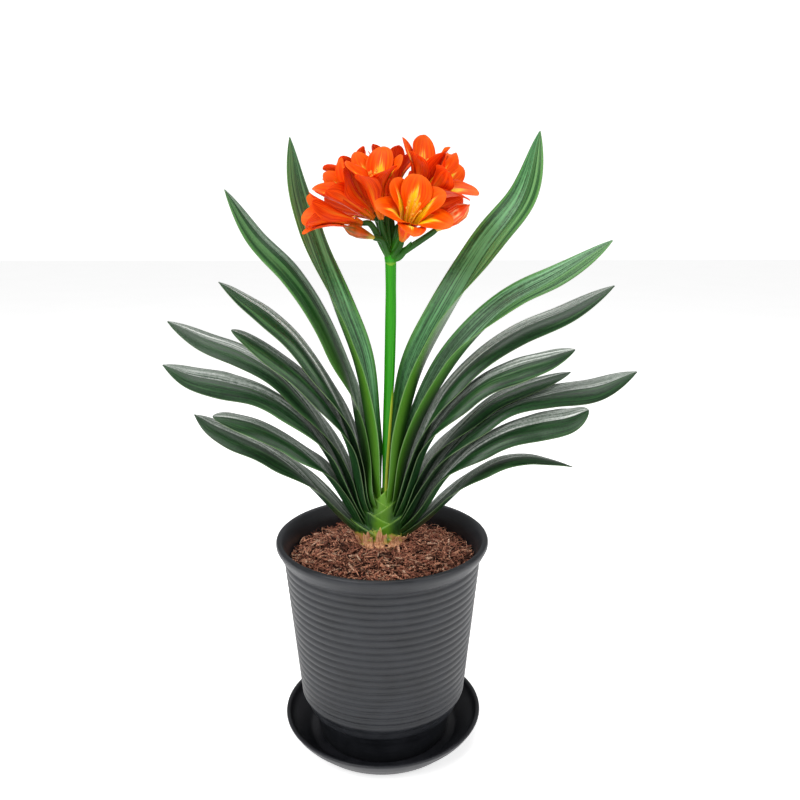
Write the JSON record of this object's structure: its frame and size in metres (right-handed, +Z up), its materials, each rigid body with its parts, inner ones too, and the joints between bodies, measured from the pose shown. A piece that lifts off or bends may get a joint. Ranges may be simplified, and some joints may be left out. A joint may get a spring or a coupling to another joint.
{
  "type": "potted clivia",
  "caption": "Flowering clivia with arching strap leaves and an umbel of orange trumpet blooms, in a ribbed dark plastic pot on its saucer.",
  "frame": {"origin": "centre of the saucer's flat underside", "axes": "+Z up; the leaf fan lies along X, to the left at -X and to the right at +X; -Y is the front, where the widest open bloom faces"},
  "size_m": [0.477, 0.22, 0.6262],
  "materials": {
    "pot": "satin, finely ribbed",
    "saucer": "satin",
    "soil": "loose bark and coir chips, matte",
    "crown": "smooth, slightly waxy",
    "leaf": "waxy satin with fine parallel veins",
    "scape": "smooth satin",
    "bloom": "soft satin petal, yellow in the throat",
    "stamens": "matte",
    "bud": "soft satin petal"
  },
  "bodies": {
    "root": {"saucer": "saucer", "pot": "pot", "soil": "soil", "crown": "crown", "scape": "scape", "leaf_left_1": "leaf", "leaf_left_2": "leaf", "leaf_left_3": "leaf", "leaf_left_4": "leaf", "leaf_left_5": "leaf", "leaf_left_6": "leaf", "leaf_left_7": "leaf", "leaf_left_8": "leaf", "leaf_right_1": "leaf", "leaf_right_2": "leaf", "leaf_right_3": "leaf", "leaf_right_4": "leaf", "leaf_right_5": "leaf", "leaf_right_6": "leaf", "leaf_right_7": "leaf", "leaf_right_8": "leaf", "bloom_1": "bloom", "bloom_1_stamens": "stamens", "bloom_2": "bloom", "bloom_2_stamens": "stamens", "bloom_3": "bloom", "bloom_3_stamens": "stamens", "bloom_4": "bloom", "bloom_4_stamens": "stamens", "bloom_5": "bloom", "bloom_6": "bloom", "bloom_6_stamens": "stamens", "bloom_7": "bloom", "bloom_7_stamens": "stamens", "bloom_8": "bloom", "bloom_9": "bloom", "bloom_10": "bloom", "bloom_10_stamens": "stamens", "bloom_11": "bloom", "bud_left": "bud", "bud_right": "bud"}
  },
  "joints": []
}
